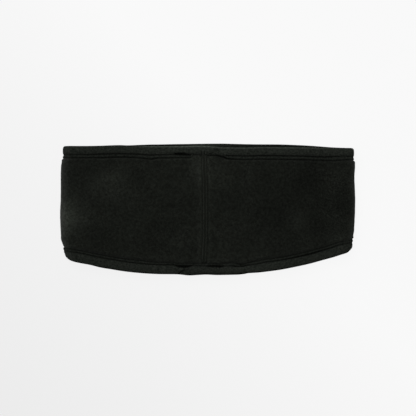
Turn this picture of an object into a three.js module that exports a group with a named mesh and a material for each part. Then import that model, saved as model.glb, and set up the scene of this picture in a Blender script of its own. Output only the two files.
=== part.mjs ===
// A fleece headband lying flat: a ring of brushed fleece, a stretch binding folded over each of its
// two edges, and one flat seam that closes the ring. Millimetres, +Z up. X runs from fold to fold,
// Y up the height of the band and Z through its two layers. The origin is on the surface it lies on,
// under the middle of its box.

import * as THREE from "three";

// Driving dimensions of the ring
const HALF_WIDTH = 128; // from the middle to the outside of a fold
const WALL = 3; // brushed fleece with its pile
const FOLD_RADIUS = 6.3; // of the wall's middle, round a fold
const SAG = 1.6; // how far the upper layer sinks between the folds
const EDGE_DIP = 0.5; // how much lower the upper layer is along its two bindings

// Driving dimensions of a binding, a strip folded over the edge of the fleece
const BINDING_WIDTH = 10.2; // on each face
const BINDING_CLOTH = 0.9;
const BINDING_HALF = 2.1; // half of the whole bound edge, at its fullest
const STITCH_ROW = 7.2; // from the edge to the outer row of stitches
const PRESSED_HALF = 0.8; // half of the fleece where the binding grips it
const PUFFED_FROM = 6; // past the binding, where the fleece is back at its own height
const GAP = 0.3; // between one piece and the next
const FLEECE_END = 0.4; // between the fleece's cut edge and the bottom of the binding's channel
const LAP_CLOTH = 0.8; // added where one end of a binding laps the other

// Driving dimensions of the seam, in the middle of the upper layer
const SEAM_X = -3;
const SEAM_HALF = 2.9;
const SEAM_RIB = 0.95; // height of its two ribs
const SEAM_EDGE = 0.35; // from its side to where a rib starts to rise
const SEAM_PRESS = 1.2; // beside it, where the fleece rises from under it
const SEAM_SHOULDER = 4.6;
const SEAM_MOUND = 0.8; // lift of the fleece on both sides of it
const SEAM_MOUND_REACH = 7;

// How far the wall's middle runs straight before it turns into a fold
const RUN = HALF_WIDTH - WALL / 2 - FOLD_RADIUS;

// The four edges, as heights at places along the band. Upper is the layer on top, under the one below it.
const EDGES = [
  { x: -128, upperTop: 55.1, underTop: 55.1, upperBottom: -43.2, underBottom: -42.8 },
  { x: -112, upperTop: 55.0, underTop: 55.0, upperBottom: -46.3, underBottom: -44.8 },
  { x: -94, upperTop: 55.0, underTop: 55.3, upperBottom: -50.0, underBottom: -47.6 },
  { x: -58, upperTop: 55.1, underTop: 56.0, upperBottom: -55.1, underBottom: -51.9 },
  { x: -8, upperTop: 54.7, underTop: 57.0, upperBottom: -56.1, underBottom: -53.4 },
  { x: 46, upperTop: 54.1, underTop: 56.5, upperBottom: -54.4, underBottom: -51.6 },
  { x: 81, upperTop: 53.9, underTop: 55.6, upperBottom: -48.6, underBottom: -46.2 },
  { x: 112, upperTop: 53.2, underTop: 53.6, upperBottom: -40.1, underBottom: -38.6 },
  { x: 128, upperTop: 53.0, underTop: 53.0, upperBottom: -36.4, underBottom: -36.2 },
];

// How far a binding draws each corner of the band in: over its own width, and more at the very edge
const CORNERS = {
  topLeft: { bound: 2.8, rounded: 0.5 },
  topRight: { bound: 1.4, rounded: 0.4 },
  bottomLeft: { bound: 4, rounded: 3.5 },
  bottomRight: { bound: 2.9, rounded: 4.2 },
};
const DRAWN_FROM = 20; // from the edge inwards, where the drawing in begins
const DRAWN_FULLY = 8;
const ROUNDED_FROM = 8;

// Soft lumps and dents of the upper layer
const LUMPS = [
  { x: -82, y: 16, reach: 26, lift: 0.9 },
  { x: -112, y: -12, reach: 20, lift: 0.7 },
  { x: -46, y: -26, reach: 24, lift: -0.7 },
  { x: 44, y: 22, reach: 26, lift: 0.6 },
  { x: 76, y: -18, reach: 24, lift: 0.8 },
  { x: 100, y: 22, reach: 20, lift: -0.6 },
];

// Where the ends of each binding lap, on the upper layer. The end on top is cut slanting.
const LAPS = {
  top: { from: -12, to: 10, slant: 8 },
  bottom: { from: -26, to: 31, slant: 3 },
};

// Numbers of steps
const UNDER_STEPS = 24;
const UPPER_STEPS = 30;
const FOLD_STEPS = 8;
const SEAM_STEPS = 12;

const { clamp, lerp, smoothstep } = THREE.MathUtils;

// The height of an edge at a place along the band, on a smooth curve through the table
function tableHeight(column, x) {
  const last = EDGES.length - 1;
  let i = 0;
  while (i < last - 1 && x > EDGES[i + 1].x) i++;
  const slope = (k) => {
    const before = EDGES[Math.max(k - 1, 0)];
    const after = EDGES[Math.min(k + 1, last)];
    return (after[column] - before[column]) / (after.x - before.x);
  };
  const a = EDGES[i];
  const b = EDGES[i + 1];
  const span = b.x - a.x;
  const t = clamp((x - a.x) / span, 0, 1);
  const s = t * t * (3 - 2 * t);
  const leave = t * (1 - t) * (1 - t) * span * slope(i);
  const arrive = t * t * (t - 1) * span * slope(i + 1);
  return lerp(a[column], b[column], s) + leave + arrive;
}

// side is Top or Bottom; rise is 0 on the under layer and 1 on the upper one
function edgeHeight(side, x, rise) {
  return lerp(tableHeight("under" + side, x), tableHeight("upper" + side, x), rise);
}

// How much narrower the half width is at a distance from the edge
function drawnIn(side, x, away) {
  const corner = CORNERS[side.toLowerCase() + (x < 0 ? "Left" : "Right")];
  const loosened = clamp((away - DRAWN_FULLY) / (DRAWN_FROM - DRAWN_FULLY), 0, 1);
  const bound = corner.bound * (1 - loosened) ** 2;
  const rounded = corner.rounded * Math.max(0, 1 - away / ROUNDED_FROM) ** 2;
  return bound + rounded;
}

function lumps(x, y) {
  const bell = (lump) => Math.exp(-((x - lump.x) ** 2 + (y - lump.y) ** 2) / lump.reach ** 2);
  return LUMPS.reduce((sum, lump) => sum + lump.lift * bell(lump), 0);
}

function seamMound(x) {
  return SEAM_MOUND * Math.exp(-(((x - SEAM_X) / SEAM_MOUND_REACH) ** 2));
}

// 1 in a binding and 0 in the open fleece
function boundAt(away) {
  return 1 - smoothstep(away, BINDING_WIDTH - 1, BINDING_WIDTH + PUFFED_FROM);
}

// The height of the wall's middle
function wallHeight(x, y, rise, bound) {
  const under = lerp(WALL / 2, BINDING_HALF, bound);
  const across = Math.min(1, Math.abs(x) / RUN);
  const sag = SAG * (1 - across ** 2) ** 2;
  const soft = (lumps(x, y) + seamMound(x)) * (1 - bound) * (1 - across ** 6);
  const upper = under + 2 * FOLD_RADIUS - sag - EDGE_DIP * bound + soft;
  return lerp(under, upper, rise);
}

// A station is one place round the ring: x and rise say where the wall's middle is, and outward
// points to its outer side.
function ringStations() {
  const under = [];
  for (let k = 0; k <= UNDER_STEPS; k++) {
    under.push(RUN * Math.sin((Math.PI / 2) * ((2 * k) / UNDER_STEPS - 1)));
  }
  const upper = [];
  for (let k = 0; k <= UPPER_STEPS; k++) {
    upper.push(RUN * Math.sin((Math.PI / 2) * (1 - (2 * k) / UPPER_STEPS)));
  }
  const besideSeam = [GAP, GAP + SEAM_PRESS, SEAM_SHOULDER].map((d) => SEAM_HALF + d);
  const seamRow = [...besideSeam.map((d) => SEAM_X + d), ...besideSeam.map((d) => SEAM_X - d), SEAM_X];
  const clear = SEAM_HALF + SEAM_SHOULDER + 1;
  const upperRow = [...upper.filter((x) => Math.abs(x - SEAM_X) > clear), ...seamRow];
  upperRow.sort((a, b) => b - a);

  const fold = (sign) => {
    const turn = [];
    for (let k = 1; k < FOLD_STEPS; k++) {
      const angle = Math.PI * (k / FOLD_STEPS - 0.5) * sign;
      const outward = new THREE.Vector3(sign * Math.cos(angle), 0, Math.sin(angle));
      const x = sign * (RUN + FOLD_RADIUS * Math.cos(angle));
      turn.push({ x, rise: (1 + Math.sin(angle)) / 2, outward });
    }
    return turn;
  };
  const down = new THREE.Vector3(0, 0, -1);
  const up = new THREE.Vector3(0, 0, 1);
  return [
    ...under.map((x) => ({ x, rise: 0, outward: down })),
    ...fold(1),
    ...upperRow.map((x) => ({ x, rise: 1, outward: up })),
    ...fold(-1),
  ];
}

// A point of the cloth at a distance from one edge, offset outwards from the wall's middle
function fromEdge(station, side, away, offset) {
  const x = station.x * (1 - drawnIn(side, station.x, away) / HALF_WIDTH);
  const inwards = side === "Top" ? -1 : 1;
  const y = edgeHeight(side, x, station.rise) + inwards * away;
  const z = wallHeight(x, y, station.rise, boundAt(away));
  return new THREE.Vector3(x, y, z).addScaledVector(station.outward, offset);
}

// A point between the two edges: share is 0 and 1 where the drawing in begins
function between(station, share, offset) {
  const bottom = edgeHeight("Bottom", station.x, station.rise) + DRAWN_FROM;
  const top = edgeHeight("Top", station.x, station.rise) - DRAWN_FROM;
  const y = lerp(bottom, top, share);
  const z = wallHeight(station.x, y, station.rise, 0);
  return new THREE.Vector3(station.x, y, z).addScaledVector(station.outward, offset);
}

// Joins rings of points into one closed skin. Each section has the same number of points.
function skin(sections, joinsItself) {
  const across = sections[0].length;
  const positions = sections.flat().flatMap((p) => [p.x, p.y, p.z]);
  const index = [];
  const spans = joinsItself ? sections.length : sections.length - 1;
  for (let i = 0; i < spans; i++) {
    const near = i * across;
    const far = ((i + 1) % sections.length) * across;
    for (let j = 0; j < across; j++) {
      const next = (j + 1) % across;
      index.push(near + j, far + next, far + j, near + j, near + next, far + next);
    }
  }
  if (!joinsItself) {
    const lastRing = (sections.length - 1) * across;
    for (let j = 1; j < across - 1; j++) {
      index.push(0, j + 1, j);
      index.push(lastRing, lastRing + j, lastRing + j + 1);
    }
  }
  const geometry = new THREE.BufferGeometry();
  geometry.setAttribute("position", new THREE.Float32BufferAttribute(positions, 3));
  geometry.setIndex(index);
  geometry.computeVertexNormals();
  return geometry;
}

// The channel that the binding holds the fleece in
const CHANNEL_HALF = PRESSED_HALF + GAP;
const CHANNEL_END = BINDING_CLOTH + FLEECE_END;

// The fleece is gripped thin in the bindings, and pressed on its outer side under the seam.
const FLEECE_ROWS = [
  { away: CHANNEL_END + GAP, half: PRESSED_HALF },
  { away: BINDING_WIDTH + GAP, half: PRESSED_HALF },
  { away: BINDING_WIDTH + 1.8, half: WALL / 2 - 0.1 },
  { away: BINDING_WIDTH + 5, half: WALL / 2 },
  { away: DRAWN_FROM, half: WALL / 2 },
];
const OPEN_SHARES = [0.25, 0.5, 0.75];

function pressedBySeam(station, half) {
  const beside = Math.abs(station.x - SEAM_X) - SEAM_HALF - GAP;
  const onSeam = station.rise === 1 ? 1 - clamp(beside / SEAM_PRESS, 0, 1) : 0;
  return lerp(half, Math.min(half, PRESSED_HALF), onSeam);
}

function fleeceSection(station) {
  const bottom = FLEECE_ROWS;
  const top = [...FLEECE_ROWS].reverse();
  const face = (outer) => {
    const offset = (half) => (outer ? pressedBySeam(station, half) : -half);
    return [
      ...bottom.map((row) => fromEdge(station, "Bottom", row.away, offset(row.half))),
      ...OPEN_SHARES.map((share) => between(station, share, offset(WALL / 2))),
      ...top.map((row) => fromEdge(station, "Top", row.away, offset(row.half))),
    ];
  };
  return [...face(true), ...face(false).reverse()];
}

// A binding's section runs over its outer face, round the edge and back inside, then along the
// channel that it holds the fleece in.
const BINDING_OUTSIDE = [
  { away: BINDING_WIDTH, offset: BINDING_HALF - 0.2 },
  { away: STITCH_ROW, offset: BINDING_HALF - 0.35 },
  { away: 3.4, offset: BINDING_HALF },
  { away: 0.9, offset: 1.5 },
];

// 1 where the binding is doubled, 0 elsewhere
function lapped(station, side, away) {
  const lap = LAPS[side.toLowerCase()];
  const end = lap.to + lap.slant * (away / BINDING_WIDTH);
  const from = smoothstep(station.x, lap.from - 1, lap.from + 1);
  return station.rise === 1 ? from * (1 - smoothstep(station.x, end - 1, end + 1)) : 0;
}

function bindingSection(station, side) {
  const outside = (sign) => (point) => {
    const lap = LAP_CLOTH * lapped(station, side, point.away);
    return fromEdge(station, side, point.away, sign * (point.offset + lap));
  };
  const edge = fromEdge(station, side, 0, 0);
  const lapAtEdge = LAP_CLOTH * lapped(station, side, 0);
  edge.y += side === "Top" ? lapAtEdge : -lapAtEdge;
  const outer = BINDING_OUTSIDE.map(outside(1));
  const inner = BINDING_OUTSIDE.map(outside(-1)).reverse();
  const channel = [
    fromEdge(station, side, BINDING_WIDTH, -CHANNEL_HALF),
    fromEdge(station, side, CHANNEL_END, -CHANNEL_HALF),
    fromEdge(station, side, CHANNEL_END, CHANNEL_HALF),
    fromEdge(station, side, BINDING_WIDTH, CHANNEL_HALF),
  ];
  const points = [...outer, edge, ...inner, ...channel];
  return side === "Top" ? points : points.reverse();
}

// The seam is a flat strip of two ribs between three rows of stitches, laid in the pressed fleece.
const SEAM_PROFILE = [
  { x: -SEAM_HALF, rise: 0.1 },
  { x: -SEAM_HALF + SEAM_EDGE, rise: 0.5 },
  { x: -SEAM_HALF / 2, rise: SEAM_RIB },
  { x: 0, rise: 0.4 },
  { x: SEAM_HALF / 2, rise: SEAM_RIB },
  { x: SEAM_HALF - SEAM_EDGE, rise: 0.5 },
  { x: SEAM_HALF, rise: 0.1 },
];

function seamSections() {
  const clear = BINDING_WIDTH + 2 * GAP;
  const start = edgeHeight("Bottom", SEAM_X, 1) + clear;
  const end = edgeHeight("Top", SEAM_X, 1) - clear;
  const sections = [];
  for (let k = 0; k <= SEAM_STEPS; k++) {
    const y = lerp(start, end, k / SEAM_STEPS);
    const away = clear + Math.min(y - start, end - y);
    const base = wallHeight(SEAM_X, y, 1, boundAt(away)) + PRESSED_HALF + GAP;
    const top = SEAM_PROFILE.map((p) => new THREE.Vector3(SEAM_X + p.x, y, base + p.rise));
    const floor = [...SEAM_PROFILE].reverse().map((p) => new THREE.Vector3(SEAM_X + p.x, y, base));
    sections.push([...top, ...floor]);
  }
  return sections;
}

const fleece = new THREE.MeshStandardMaterial({ color: 0x161815, roughness: 0.95, metalness: 0 });
const knit = new THREE.MeshStandardMaterial({ color: 0x1e201d, roughness: 0.75, metalness: 0 });
const thread = new THREE.MeshStandardMaterial({ color: 0x1b1d1a, roughness: 0.6, metalness: 0 });

function named(name, geometry, material) {
  const mesh = new THREE.Mesh(geometry, material);
  mesh.name = name;
  return mesh;
}

const stations = ringStations();
const headband = new THREE.Group();
headband.add(
  named("fleece_band", skin(stations.map(fleeceSection), true), fleece),
  named("top_binding", skin(stations.map((s) => bindingSection(s, "Top")), true), knit),
  named("bottom_binding", skin(stations.map((s) => bindingSection(s, "Bottom")), true), knit),
  named("centre_seam", skin(seamSections(), false), thread),
);

export default headband;
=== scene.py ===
# %% [markdown]
# # A fleece headband, lying flat
# This lesson dresses a plain model of a headband until it looks like cloth. The real thing is a ring of
# brushed fleece. A stretch knit strip, called a binding, is folded over each of its two edges and held
# by two rows of stitches, and one stitched seam closes the ring. It lies on a table in two layers, with
# a soft fold at the left and at the right. The plain model gives the place and the size of each piece,
# and everything here is in metres in that same frame: X from fold to fold, Y up the band, Z up.

# %% Load the plain model
import math
from functools import partial

import bpy
import numpy as np
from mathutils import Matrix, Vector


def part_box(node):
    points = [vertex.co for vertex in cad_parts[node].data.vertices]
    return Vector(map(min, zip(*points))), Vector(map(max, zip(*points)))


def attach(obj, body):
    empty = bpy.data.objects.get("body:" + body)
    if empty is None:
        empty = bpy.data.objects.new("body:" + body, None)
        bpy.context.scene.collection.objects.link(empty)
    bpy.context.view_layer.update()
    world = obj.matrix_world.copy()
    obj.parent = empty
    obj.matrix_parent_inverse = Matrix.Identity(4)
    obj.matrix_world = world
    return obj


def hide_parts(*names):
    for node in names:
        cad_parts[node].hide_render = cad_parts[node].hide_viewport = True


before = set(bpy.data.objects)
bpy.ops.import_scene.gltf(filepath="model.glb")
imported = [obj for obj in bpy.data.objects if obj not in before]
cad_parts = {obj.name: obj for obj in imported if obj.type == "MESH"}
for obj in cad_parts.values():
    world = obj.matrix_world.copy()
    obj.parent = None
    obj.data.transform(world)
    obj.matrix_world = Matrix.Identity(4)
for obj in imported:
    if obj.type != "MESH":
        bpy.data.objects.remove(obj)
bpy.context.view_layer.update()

MM = 0.001

# %% [markdown]
# ## The shape of the ring
# Cloth that lies flat keeps a small radius where it folds. So the middle of the cloth runs straight
# under the band, turns half a circle, runs back over the top and turns again. One number, the way
# along this path, names a place round the ring. The path is described by a function and not drawn as a
# curve, because the fleece, both bindings and every stitch have to follow the very same path.

# %% Sizes of the ring
HALF_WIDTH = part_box("fleece_band")[1][0]
BAND_HEIGHT = 110 * MM
WALL = 3.0 * MM
FOLD_RADIUS = 6.3 * MM
SAG = 1.6 * MM
EDGE_DIP = 0.5 * MM
RUN = HALF_WIDTH - WALL / 2 - FOLD_RADIUS
TURN = math.pi * FOLD_RADIUS
RING_LENGTH = 4 * RUN + 2 * TURN

BINDING_WIDTH = 10.2 * MM
BINDING_HALF = 2.1 * MM
PRESSED_HALF = 0.55 * MM
PUFFED_FROM = 6.0 * MM
CHANNEL_HALF = 0.65 * MM
CHANNEL_END = 1.3 * MM

SEAM_HALF = 2.3 * MM
print("round the ring, mm:", round(RING_LENGTH / MM, 1))

# %% [markdown]
# The band isn't a plain rectangle. Its top edge is nearly straight and its bottom edge curves down in
# the middle, where it covers the forehead. The two layers don't lie exactly on each other either: the
# layer underneath shows a little above the top edge. The table gives the four edges in millimetres at
# places along X, and a smooth curve runs through them.

# %% The four edges
EDGE_COLUMNS = ("x", "upper Top", "under Top", "upper Bottom", "under Bottom")
EDGE_ROWS = np.array([
    (-128, 54.8, 54.8, -43.2, -42.8), (-122, 55.15, 55.2, -44.5, -43.5),
    (-112, 55.15, 55.25, -46.5, -44.8), (-103, 55.15, 55.4, -48.15, -46.2),
    (-94, 55.15, 55.55, -50.35, -47.6), (-85, 55.25, 55.9, -51.85, -48.8),
    (-76, 55.3, 56.1, -53.3, -50.0), (-69, 55.2, 55.9, -54.25, -50.8),
    (-58, 55.3, 56.35, -55.3, -51.9), (-50, 55.2, 56.62, -55.83, -52.3),
    (-42, 55.15, 56.7, -56.15, -52.6), (-26, 55.15, 57.0, -56.35, -53.0),
    (-20, 55.15, 57.05, -56.85, -53.2), (-14, 55.1, 57.15, -56.5, -53.3),
    (-8, 55.02, 57.25, -56.1, -53.4), (-1, 54.8, 57.35, -55.8, -53.4),
    (7, 54.35, 57.4, -56.15, -53.35), (14, 54.1, 57.4, -56.1, -53.2),
    (22, 54.05, 57.2, -55.95, -52.95), (28, 53.95, 57.05, -55.85, -52.75),
    (31.5, 53.95, 56.95, -56.1, -52.6), (35, 54.0, 56.9, -55.4, -52.4),
    (40, 54.15, 56.82, -55.05, -52.1), (46, 54.35, 56.78, -54.6, -51.6),
    (64, 54.2, 56.65, -52.25, -49.2), (81, 54.1, 56.0, -48.9, -46.2),
    (90, 53.92, 55.5, -46.85, -44.15), (98, 53.72, 54.9, -44.65, -42.05),
    (108, 53.5, 54.15, -41.75, -39.5), (116, 53.4, 53.8, -39.15, -37.9),
    (122, 53.45, 53.6, -37.75, -37.1), (128, 53.2, 53.2, -36.4, -36.2),
]) * MM


def smooth(value, low, high):
    """Rises from 0 at low to 1 at high, with soft ends."""
    t = np.clip((value - low) / (high - low), 0, 1)
    return t * t * (3 - 2 * t)


def hump(distance, reach):
    """1 in the middle of a soft hump, and close to 0 from twice its reach on."""
    return np.exp(-((distance / reach) ** 2))


def spots(x, y, table):
    """The sum of the round spots of a table with the columns x, y, reach and size."""
    return sum(
        size * np.exp(-((x - at_x) ** 2 + (y - at_y) ** 2) / reach**2)
        for at_x, at_y, reach, size in table
    )


def read(rows, columns, name, at):
    """A column of a table, at places along its first column."""
    return np.interp(at, rows[:, 0], rows[:, columns.index(name)])


def table_height(column, x):
    """The height of an edge at x, on a smooth curve through the table's rows."""
    place = EDGE_ROWS[:, 0]
    height = EDGE_ROWS[:, EDGE_COLUMNS.index(column)]
    before = np.r_[0, np.arange(len(place) - 1)]
    after = np.r_[np.arange(1, len(place)), len(place) - 1]
    slope = (height[after] - height[before]) / (place[after] - place[before])
    i = np.clip(np.searchsorted(place, x) - 1, 0, len(place) - 2)
    span = place[i + 1] - place[i]
    t = np.clip((x - place[i]) / span, 0, 1)
    s = t * t * (3 - 2 * t)
    bend = t * (1 - t) ** 2 * slope[i] + t * t * (t - 1) * slope[i + 1]
    return height[i] * (1 - s) + height[i + 1] * s + bend * span


def edge_height(side, x, rise):
    """rise is 0 on the layer underneath and 1 on the upper one."""
    return table_height("under " + side, x) * (1 - rise) + table_height("upper " + side, x) * rise


middle_height = edge_height("Top", 0.0, 1.0) - edge_height("Bottom", 0.0, 1.0)
print("height in the middle, mm:", round(float(middle_height) / MM, 1))

# %% [markdown]
# A binding is a little shorter than the fleece that it holds, so it draws the four corners in. The table
# of the corners gives how far it draws them, and how much rounder it makes them. The two folds aren't
# straight either: fleece bulges out just past a binding and waves in between, as the table of the folds
# has it. The seam bows a little to the right in its middle. In the open the upper layer has soft lumps
# and dents, as fleece has when a folded pile is opened and put down.

# %% Corners, folds, seam and lumps
SEAM_COLUMNS = ("y", "x")
SEAM_ROWS = np.array([
    (-52, -3.2), (-40, -3.1), (-33, -2.7), (-26, -2.3), (0, -2.15), (22, -2.25), (29, -2.6), (36, -3.05),
    (52, -3.15),
]) * MM
# Each corner is named by its edge and by whether it is at the right.
CORNERS = {
    ("Top", False): (2.8 * MM, 0.5 * MM),
    ("Top", True): (1.4 * MM, 0.4 * MM),
    ("Bottom", False): (4.0 * MM, 3.5 * MM),
    ("Bottom", True): (2.9 * MM, 4.2 * MM),
}
DRAWN_FROM = 20.0 * MM
DRAWN_FULLY = 8.0 * MM
ROUNDED_FROM = 8.0 * MM
FOLD_COLUMNS = ("y", "left", "right")
FOLD_ROWS = np.array([
    (-44, -1.2, -0.8), (-41, 0.05, 0.3), (-38.5, 0.1, 0.3),
    (-36, 1.1, 0.1), (-33.5, 0.5, 0.85), (-31, -1.15, 0.6),
    (-28, -0.5, 0.6), (-25.5, -0.3, 0.1), (-23, -0.4, -0.7),
    (-18, -0.2, -0.4), (-12.5, 0.2, -0.2), (-7, 0.4, 0.0),
    (-1, 0.4, 0.2), (4, 0.1, 0.3), (13, -0.1, 0.2),
    (19, -0.2, -0.1), (25, -0.2, -0.4), (29, -0.2, -0.4),
    (33, -0.25, -0.1), (37, -0.3, 0.4), (42, -0.4, 0.5),
    (45, 0.3, 0.3), (52, 0.4, 0.2),
]) * MM
# The columns are x, y, reach and lift, all in millimetres.
LUMPS = np.array([
    (-82, 16, 26, 0.9), (-112, -12, 20, 0.7),
    (-46, -26, 24, -0.7), (44, 22, 26, 0.6),
    (76, -18, 24, 0.8), (100, 22, 20, -0.6),
]) * MM


def drawn_in(side, x, away):
    """How much narrower the half width is, at a distance away from one edge."""
    loosened = np.clip((away - DRAWN_FULLY) / (DRAWN_FROM - DRAWN_FULLY), 0, 1)
    corner = np.clip(1 - away / ROUNDED_FROM, 0, 1)
    left, right = (
        CORNERS[side, at_right][0] * (1 - loosened) ** 2 + CORNERS[side, at_right][1] * corner**2
        for at_right in (False, True)
    )
    return np.where(x < 0, left, right)


def fold_shift(x, y):
    """How far a fold stands out at a height, as a share of the half width."""
    left, right = (read(FOLD_ROWS, FOLD_COLUMNS, end, y) for end in ("left", "right"))
    return np.where(x < 0, left, right) / HALF_WIDTH


def seam_line(y):
    """The middle of the seam at a height: it bows a little to the right."""
    return read(SEAM_ROWS, SEAM_COLUMNS, "x", y)


print("the seam in its middle is at x, mm:", round(float(seam_line(0.0)) / MM, 2))

# %% [markdown]
# With these, any point of the cloth can be named by the way round the ring, its distance from an edge
# and how far it stands off the middle of the cloth.

# %% From a way round the ring to a point
SHOULDER = 0.7 * MM
SHOULDER_RISES = (-11 * MM, -6.2 * MM)
SHOULDER_FALLS = (-2 * MM, 18 * MM)


def shoulder(x):
    """The spare cloth of the seam lies to its left, under the fleece."""
    return SHOULDER * smooth(x, *SHOULDER_RISES) * (1 - smooth(x, *SHOULDER_FALLS))


def wall_height(x, y, rise, bound):
    """The height of the middle of the cloth. bound is 1 in a binding and 0 in the open fleece."""
    under = WALL / 2 * (1 - bound) + BINDING_HALF * bound
    across = np.clip(np.abs(x) / RUN, 0, 1)
    soft = (spots(x, y, LUMPS) * (1 - bound) + shoulder(x) * (1 - 0.5 * bound)) * (1 - across**6)
    upper = under + 2 * FOLD_RADIUS - SAG * (1 - across**2) ** 2 - EDGE_DIP * bound + soft
    return under * (1 - rise) + upper * rise


def bound_at(away):
    """1 where a binding holds the cloth, and 0 in the open."""
    return 1 - smooth(away, BINDING_WIDTH - MM, BINDING_WIDTH + PUFFED_FROM)


def ring(way):
    """x, rise and the direction that points out of the ring, after a way round it in metres."""
    way = way % RING_LENGTH
    angle_right = (way - 2 * RUN) / FOLD_RADIUS - math.pi / 2
    angle_left = (way - 4 * RUN - TURN) / FOLD_RADIUS + math.pi / 2
    parts = [way < 2 * RUN, way < 2 * RUN + TURN, way < 4 * RUN + TURN]
    x = np.select(
        parts,
        [way - RUN, RUN + FOLD_RADIUS * np.cos(angle_right), 3 * RUN + TURN - way],
        -RUN + FOLD_RADIUS * np.cos(angle_left),
    )
    out_z = np.select(parts, [-1, np.sin(angle_right), 1], np.sin(angle_left))
    out_x = np.select(parts, [0, np.cos(angle_right), 0], np.cos(angle_left))
    return x, (1 + out_z) / 2, out_x, out_z


def stand_out(x, y, z, out_x, out_z, offset):
    """Points that stand off the middle of the cloth, the folds included."""
    return np.stack([x * (1 + fold_shift(x, y)) + out_x * offset, y, z + out_z * offset], axis=-1)


def cloth_point(way, side, away, offset):
    """A point of the cloth, away from one edge and offset outwards from the middle of the cloth."""
    ring_x, rise, out_x, out_z = ring(way)
    x = ring_x * (1 - drawn_in(side, ring_x, away) / HALF_WIDTH)
    inwards = -1 if side == "Top" else 1
    y = edge_height(side, x, rise) + inwards * away
    z = wall_height(x, y, rise, bound_at(away))
    return stand_out(x, y, z, out_x, out_z, offset)


def way_at(x):
    """The way round the ring to a place on the upper layer."""
    return 3 * RUN + TURN - x


SEAM_TOP = edge_height("Top", seam_line(50 * MM), 1.0)
SEAM_BOTTOM = edge_height("Bottom", seam_line(-50 * MM), 1.0)
print("height at the seam, mm:", round(float(SEAM_TOP - SEAM_BOTTOM) / MM, 1))


# %% [markdown]
# Two needles sew a binding on at once, in two rows. The rows wander a little, and near the two joins they
# shift: on the top edge the left end of the strip is folded narrower before it covers the right one.
# The table gives, in millimetres, how far each row is from the edge on the upper layer. It also gives how
# hard each row pulls the knit in, where 1 is usual and 0 is a place with no row.

# %% Where the rows run
ROW_COLUMNS = ("x", "first row", "second row", "first pull", "second pull")
ROW_TABLES = {
    "Top": np.array([
        (-128, 7.8, 10.2, 0.4, 0.6), (-122, 7.7, 10.15, 0.6, 0.7),
        (-113, 7.6, 10.15, 0.65, 0.9), (-106, 7.5, 10.25, 0.8, 1.0),
        (-99, 7.35, 10.1, 0.9, 1.1), (-94, 7.2, 10.3, 1.0, 1.2),
        (-71, 7.0, 9.7, 1.0, 1.2), (-61, 7.45, 10.4, 0.9, 1.0),
        (-50, 8.2, 11.5, 0.9, 1.1), (-44, 7.8, 10.4, 0.8, 1.1),
        (-36, 7.9, 10.4, 0.7, 1.1), (-31, 7.3, 10.2, 0.7, 0.9),
        (-28, 6.9, 10.1, 2.0, 0.8), (-21, 6.9, 10.1, 2.8, 0.8),
        (-18, 7.5, 10.0, 2.4, 1.1), (-14.6, 7.7, 10.1, 1.7, 1.0),
        (-13.2, 6.3, 7.0, 0.2, 0.8), (-7, 6.4, 7.1, 0.2, 0.8),
        (-5.5, 6.5, 7.2, 0.1, 0.5), (-1, 6.8, 7.4, 0.1, 0.6),
        (0.7, 7.0, 7.5, 0.2, 2.0), (3.2, 6.8, 7.3, 0.2, 2.4),
        (4.4, 6.8, 7.3, 0.2, 1.3), (6.8, 6.6, 7.1, 0.2, 1.6),
        (7.8, 6.5, 7.0, 0.2, 4.6), (13.8, 7.6, 8.5, 0.2, 4.6),
        (14.8, 7.9, 9.2, 0.2, 5.0), (16.8, 7.3, 10.1, 0.9, 1.4),
        (32, 7.75, 10.55, 0.9, 0.9), (58, 7.7, 10.65, 1.0, 1.1),
        (80, 7.9, 10.8, 1.0, 1.2), (96, 8.3, 10.95, 1.1, 1.1),
        (104, 8.2, 11.0, 1.0, 1.0), (110, 7.6, 11.1, 0.9, 0.9),
        (117, 7.4, 10.4, 0.6, 0.8), (122, 7.5, 10.2, 0.6, 0.7),
        (128, 7.5, 10.1, 0.3, 0.4),
    ]),
    "Bottom": np.array([
        (-128, 8.3, 10.8, 0.5, 0.5), (-121, 8.7, 11.0, 0.7, 0.7),
        (-113, 9.1, 11.1, 1.0, 0.9), (-106, 8.7, 10.9, 1.0, 0.9),
        (-95, 8.9, 11.3, 1.0, 1.0), (-78, 8.6, 11.0, 1.0, 1.05),
        (-61, 8.3, 11.0, 1.0, 1.0), (-43, 8.3, 9.8, 1.1, 0.9),
        (-30, 8.2, 9.7, 1.3, 0.7), (-26, 7.3, 9.2, 2.6, 0.6),
        (-21, 7.5, 9.2, 3.0, 0.6), (-16, 7.7, 9.3, 2.6, 0.7),
        (-13, 7.7, 9.2, 1.1, 0.7), (-8, 7.2, 8.6, 1.35, 0.7),
        (-2, 6.8, 8.0, 1.4, 0.9), (1, 6.95, 8.2, 2.8, 1.1),
        (5, 7.25, 8.7, 3.4, 1.3), (12, 6.8, 8.5, 3.2, 1.2),
        (15, 6.8, 8.9, 1.2, 0.9), (21, 6.9, 9.2, 1.1, 0.8),
        (24, 6.4, 9.2, 1.9, 0.9), (28, 6.4, 8.3, 1.7, 1.7),
        (34, 7.2, 8.8, 1.3, 1.2), (40, 7.0, 9.7, 0.8, 0.9),
        (51, 8.3, 10.9, 1.0, 1.0), (68, 8.3, 10.75, 1.1, 1.0),
        (80, 8.5, 11.0, 1.4, 1.0), (96, 8.7, 11.3, 1.5, 0.9),
        (103, 8.8, 11.2, 1.2, 0.9), (113, 9.0, 11.7, 0.8, 0.8),
        (120, 8.8, 11.2, 0.7, 0.7), (128, 8.6, 10.9, 0.4, 0.4),
    ]),
}
ROW_TO_END = 0.45 * MM
UNDER_ROWS = {"first row": 7.4, "second row": 10.2, "first pull": 1.0, "second pull": 1.0}


def row_value(side, column, x, rise):
    upper = read(ROW_TABLES[side], ROW_COLUMNS, column, x / MM)
    return UNDER_ROWS[column] * (1 - rise) + upper * rise


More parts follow.
